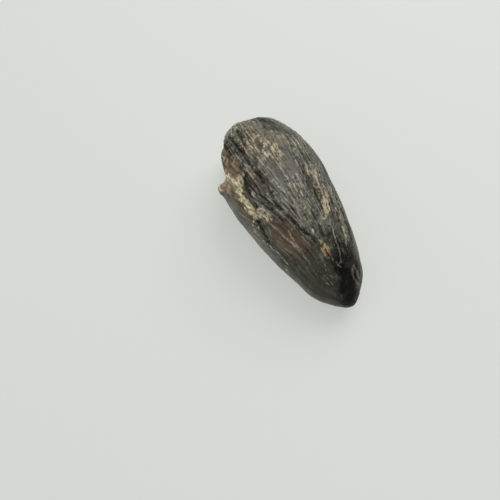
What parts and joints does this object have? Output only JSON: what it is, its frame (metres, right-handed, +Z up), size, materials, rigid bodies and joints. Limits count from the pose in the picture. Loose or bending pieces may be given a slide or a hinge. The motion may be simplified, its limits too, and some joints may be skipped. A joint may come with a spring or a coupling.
{
  "type": "fossil crocodile tooth",
  "caption": "Fossil reptile tooth crown with a broken, chipped base and a worn tip, lying on its side as a small natural specimen.",
  "frame": {"origin": "under the middle of the tooth's box, on the flat patch that it rests on", "axes": "+X from the broken base to the tip, +Y to the side without the chip, +Z up from the surface it lies on"},
  "size_m": [0.015, 0.007, 0.006],
  "materials": {
    "fossil_enamel": "charcoal fossil enamel, worn to a satin gloss, with tan sediment in its grooves and bare brown dentine in the chip"
  },
  "bodies": {
    "root": {"tooth": "fossil_enamel"}
  },
  "joints": []
}
